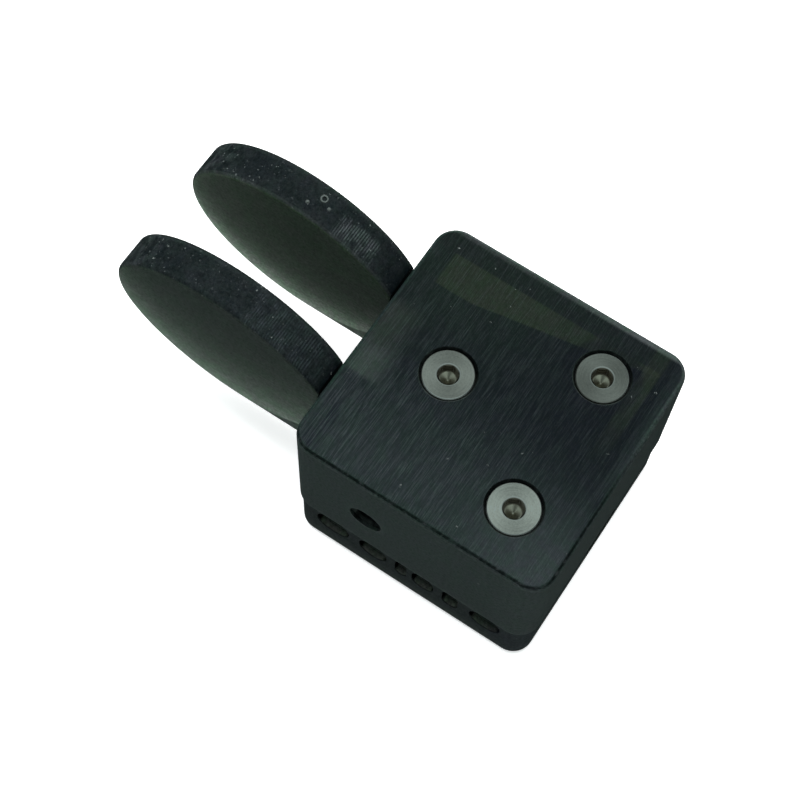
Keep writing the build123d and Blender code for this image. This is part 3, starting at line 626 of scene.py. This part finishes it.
finishes = {
    "body_shell": "body_shell",
    "base_plate": "base_plate",
    "anti_slip_pad": "rubber",
    "left_lever": "lever",
    "right_lever": "lever",
    "left_pivot_bush": "brass",
    "right_pivot_bush": "brass",
    "left_contact_strip": "brass",
    "right_contact_strip": "brass",
    "left_contact_stud": "brass",
    "right_contact_stud": "brass",
    "contact_post": "brass",
    "threaded_inserts": "brass",
    "front_contact_screw": "front_screw",
    "rear_pivot_screws": "rear_screw",
    "pivot_washers": "washer",
    "solder_tags": "tinned",
    "left_gap_screw": "black_steel",
    "right_gap_screw": "black_steel",
    "return_spring": "spring",
    "jack_housing": "jack",
    "jack_tip_contact": "tinned",
    "jack_ring_contact": "tinned",
    "jack_sleeve_contact": "tinned",
    "left_wire": "red",
    "right_wire": "blue",
    "common_wire": "black",
}
for node, finish in finishes.items():
    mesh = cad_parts[node].data
    mesh.materials.clear()
    mesh.materials.append(materials[finish])


def spring_half(name, side):
    """Half of the spring, on one side of the middle."""
    coil = bmesh.new()
    coil.from_mesh(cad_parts["return_spring"].data)
    bmesh.ops.remove_doubles(coil, verts=coil.verts[:], dist=0.001 * MM)
    whole = coil.verts[:] + coil.edges[:] + coil.faces[:]
    cut = bmesh.ops.bisect_plane(
        coil, geom=whole, plane_co=(0, 0, 0), plane_no=(side, 0, 0), clear_inner=True
    )
    rim = [edge for edge in cut["geom_cut"] if isinstance(edge, bmesh.types.BMEdge)]
    bmesh.ops.holes_fill(coil, edges=rim, sides=0)
    for face in coil.faces:
        face.smooth = True
    mesh = bpy.data.meshes.new(f"return_spring_{name}")
    coil.to_mesh(mesh)
    coil.free()
    mesh.materials.append(materials["spring"])
    half = bpy.data.objects.new(mesh.name, mesh)
    bpy.context.scene.collection.objects.link(half)
    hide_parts("return_spring")
    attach(half, "body")
    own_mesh(half)


spring_half("left", -1)
spring_half("right", 1)


# ---- floor, light and camera ---------------------------------------------------------------------
def make_floor():
    """Pale paper just under the rubber pad. It shows from above only, so the underside can be seen."""
    half = floor_half_size
    corners = [(-half, -half, 0), (half, -half, 0), (half, half, 0), (-half, half, 0)]
    mesh = bpy.data.meshes.new("floor")
    mesh.from_pydata(corners, [], [(0, 1, 2, 3)])
    floor = bpy.data.objects.new("floor", mesh)
    bpy.context.scene.collection.objects.link(floor)
    g = Graph("pale_floor", 0.9, specular=0.1)
    paper = g.noise(g.place, 0.02, 2.0, 0.5)
    g.set("Base Color", g.mix(paper, (0.86, 0.86, 0.86), (0.9, 0.9, 0.9)))
    g.set("Emission Color", (1.0, 1.0, 1.0, 1.0))
    g.set("Emission Strength", 0.55)
    mesh.materials.append(g.material)
    behind = g.tree.nodes.new("ShaderNodeNewGeometry").outputs["Backfacing"]
    cut = g.tree.nodes.new("ShaderNodeMixShader")
    g.link(cut.inputs[0], behind)
    g.link(cut.inputs[1], g.shader.outputs[0])
    g.link(cut.inputs[2], g.tree.nodes.new("ShaderNodeBsdfTransparent").outputs[0])
    g.link(g.tree.nodes["Material Output"].inputs["Surface"], cut.outputs[0])
    floor.location.z = -floor_gap
    floor.visible_glossy = False


def area_light(name, place, target, size, power, glossy=True):
    light = bpy.data.lights.new(name, "AREA")
    light.energy = power
    light.size = size
    light.shape = "DISK"
    lamp = bpy.data.objects.new(name, light)
    bpy.context.scene.collection.objects.link(lamp)
    lamp.location = place
    lamp.rotation_mode = "QUATERNION"
    lamp.rotation_quaternion = (Vector(target) - Vector(place)).to_track_quat("-Z", "Y")
    lamp.visible_glossy = glossy
    return lamp


def make_world():
    """Soft sky, brighter overhead and to the right, with a dark patch where a person stands."""
    world = bpy.data.worlds.new("studio")
    bpy.context.scene.world = world
    world.use_nodes = True
    g = Nodes(world.node_tree)
    background = g.tree.nodes["Background"]
    heading = g.tree.nodes.new("ShaderNodeTexCoord").outputs["Generated"]
    x, y, z = g.split(heading)
    height = g.ramp(z, -0.3, 0.9, 0.05, 0.26)
    sweep = g.ramp(x, -0.75, 0.05, 0.55, 1.75)
    person = g.ramp(g.apart(heading, (0.50, 0.05, 0.86)), 0.22, 0.42, 0.15, 1.0)
    g.link(background.inputs["Strength"], g.times(g.times(height, sweep), person))
    background.inputs["Color"].default_value = (0.80, 1.0, 0.97, 1)


make_floor()
make_world()
area_light("overhead", (-0.1, -0.1, 0.7), (0, 0, 0), 0.6, 9.0, glossy=False)

camera_data = bpy.data.cameras.new("camera")
camera_data.lens = lens_mm
camera_data.sensor_width = sensor_mm
camera_data.clip_start = 0.005
camera = bpy.data.objects.new("camera", camera_data)
bpy.context.scene.collection.objects.link(camera)
turned = Matrix((camera_look.cross(camera_up), camera_up, -camera_look)).transposed()
camera.matrix_world = Matrix.Translation(camera_place) @ turned.to_4x4()
bpy.context.scene.camera = camera
bpy.context.scene.view_settings.view_transform = "Standard"
